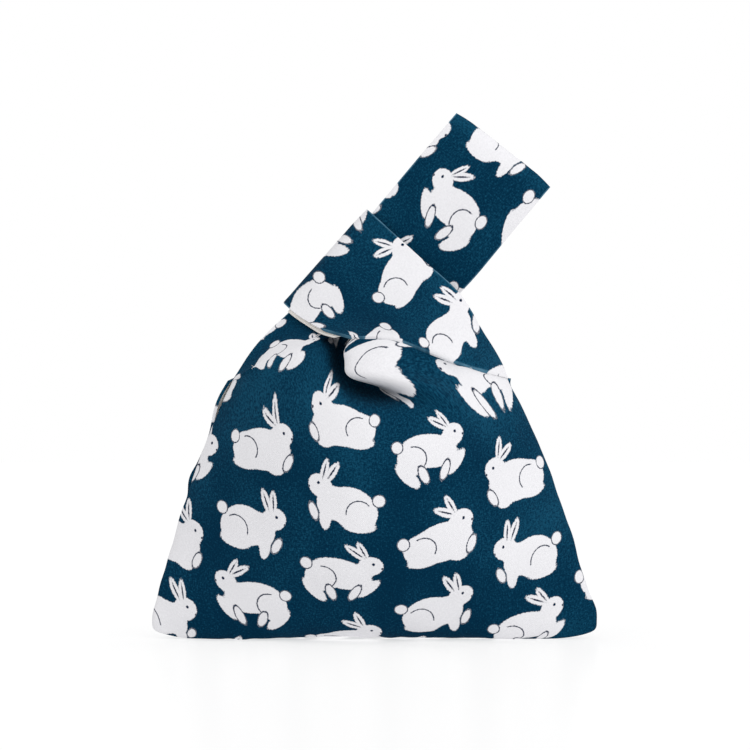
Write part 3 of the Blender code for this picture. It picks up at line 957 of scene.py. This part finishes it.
def cloth_finish(name, paint):
    """A cotton finish. paint takes the flat cloth and the threads' tone, and gives the colour."""
    finish = new_finish(name, COTTON)
    tree = finish.node_tree
    shader = tree.nodes["Principled BSDF"]
    flat = flat_cloth(tree)
    tone = thread_tone(flat)
    tree.links.new(paint(flat, tone).socket, shader.inputs["Base Color"])
    relief = {"Strength": WEAVE_STRENGTH, "Distance": WEAVE_DEEP * MM, "Height": weave_height(flat, tone)}
    tree.links.new(flat.node("ShaderNodeBump", {}, relief).socket, shader.inputs["Normal"])
    return finish


def hem_highlight(across, up):
    """How strong the painted highlight is along the folded hems of the handles and along the short handle's
    lap, from 0 to 1, at a place on a cut.
    """
    hems = lower(*(abs(abs(across) - hem) for hem in HEMS)) + (HEMS_FROM - up).at_least(0.0)
    off_lap = (HEMS[0] - across).at_least(0.0)
    lap = abs(across + up - (HEMS[0] + SHORT_TUCK)) * SLANT + off_lap
    return mask(lower(hems - HEM_HIGHLIGHT_REACH, lap - LAP_HIGHLIGHT_REACH), HEM_HIGHLIGHT_REACH)


def painted_light_and_patches(flat, across, up):
    """How much lighter the cloth is painted at a place on a cut: random patches, painted light near the
    pleat's height, down the right side and at the long handle's fold, and painted shade towards the foot.
    """
    light_and_patches = stretched_noise(flat, *PATCH) * PATCHY
    painted_ramps = (abs(up - PLEAT_HEIGHT), PLEAT_PAINTED_LIGHT), (across, RIGHT_PAINTED_LIGHT), (up, FOLD_PAINTED_HIGHLIGHT), (up, FOOT_PAINTED_SHADE)
    for place, light_ramp in painted_ramps:
        light_and_patches = light_and_patches + ramp(place, light_ramp.start, light_ramp.full) * light_ramp.much
    return light_and_patches


def paint_print(flat, tone):
    """White hares on navy, speckled by the threads and in random patches, with painted light and shade over
    both, and a painted highlight on the navy along the handles' hems.
    """
    white, line = hare_print(flat)
    u, up = split(flat)
    across = BACK_CUT_AT / 2 - abs(u - BACK_CUT_AT / 2)
    # shade carries the thread speckle, the random patches, and the painted light and shade
    shade = ((tone - 0.5) * SPECKLE + painted_light_and_patches(flat, across, up)).clamped()
    # a painted highlight along the hems and the lap, in blotches
    hem_lit = hem_highlight(across, up) * stretched_noise(flat, *HIGHLIGHT_BLOTCH)
    ground = mix(mix(NAVY_DEEP, NAVY_PALE, shade * shade), NAVY_HEM_HIGHLIGHT, hem_lit)
    hares = mix(OFF_WHITE_DEEP, OFF_WHITE, shade)
    return mix(mix(ground, hares, white), INK, line * white)


def paint_lining(flat, tone):
    """Plain cream, a little speckled."""
    return mix(CREAM_DEEP, CREAM, ((tone - 0.5) * LINING_SPECKLE + 0.5).clamped())


def add_studio():
    """White paper below, and a white wall all round that lights nothing and throws no shadow."""
    bm = bmesh.new()
    bmesh.ops.create_grid(bm, x_segments=1, y_segments=1, size=FLOOR_REACH)
    floor = add_mesh("floor", bm, [new_finish("floor paper", FLOOR_PAPER)])
    bm = bmesh.new()
    bmesh.ops.create_icosphere(bm, subdivisions=4, radius=WALL_REACH)
    wall = add_mesh("wall", bm, [new_finish("wall paper", WALL_PAPER)])
    wall.visible_diffuse = wall.visible_transmission = wall.visible_shadow = False


def add_lights(bag):
    """An even room, and lamps that shine on the bag alone, so that the paper keeps its white."""
    world = bpy.data.worlds.new("room")
    bpy.context.scene.world = world
    world.use_nodes = True
    set_sockets(world.node_tree.nodes["Background"], {"Color": WHITE, "Strength": ROOM_LIGHT})
    lit = bpy.data.collections.new("lit by the lamps")
    for piece in bag:
        lit.objects.link(piece)
    for name, place, size, power in LAMPS:
        lamp = bpy.data.lights.new(name, "AREA")
        lamp.shape = "DISK"
        lamp.size = size
        lamp.energy = power
        made = add_object(name, lamp)
        made.location = place
        made.rotation_euler = (LAMPS_AIM - Vector(place)).to_track_quat("-Z", "Y").to_euler()
        made.light_linking.receiver_collection = lit


def add_camera():
    lens = bpy.data.cameras.new("camera")
    lens.sensor_width = SENSOR
    lens.lens = SENSOR * CAMERA_AWAY / PICTURE_WIDTH
    camera = add_object("camera", lens)
    camera.location = (PICTURE_MIDDLE[0], -CAMERA_AWAY, PICTURE_MIDDLE[1])
    camera.rotation_euler = (math.radians(90), 0, 0)
    bpy.context.scene.camera = camera


def main():
    bpy.context.scene.view_settings.view_transform = "Standard"
    add_camera()
    printed = cloth_finish("printed cotton", paint_print)
    lining = cloth_finish("lining cotton", paint_lining)
    front, back = (add_panel(panel, [printed, lining]) for panel in PANELS)
    rim = add_lining_rim(PANELS[0], lining)
    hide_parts("front_panel")
    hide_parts("back_panel")
    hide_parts("lining_edge")
    add_studio()
    add_lights([front, back, rim])


main()
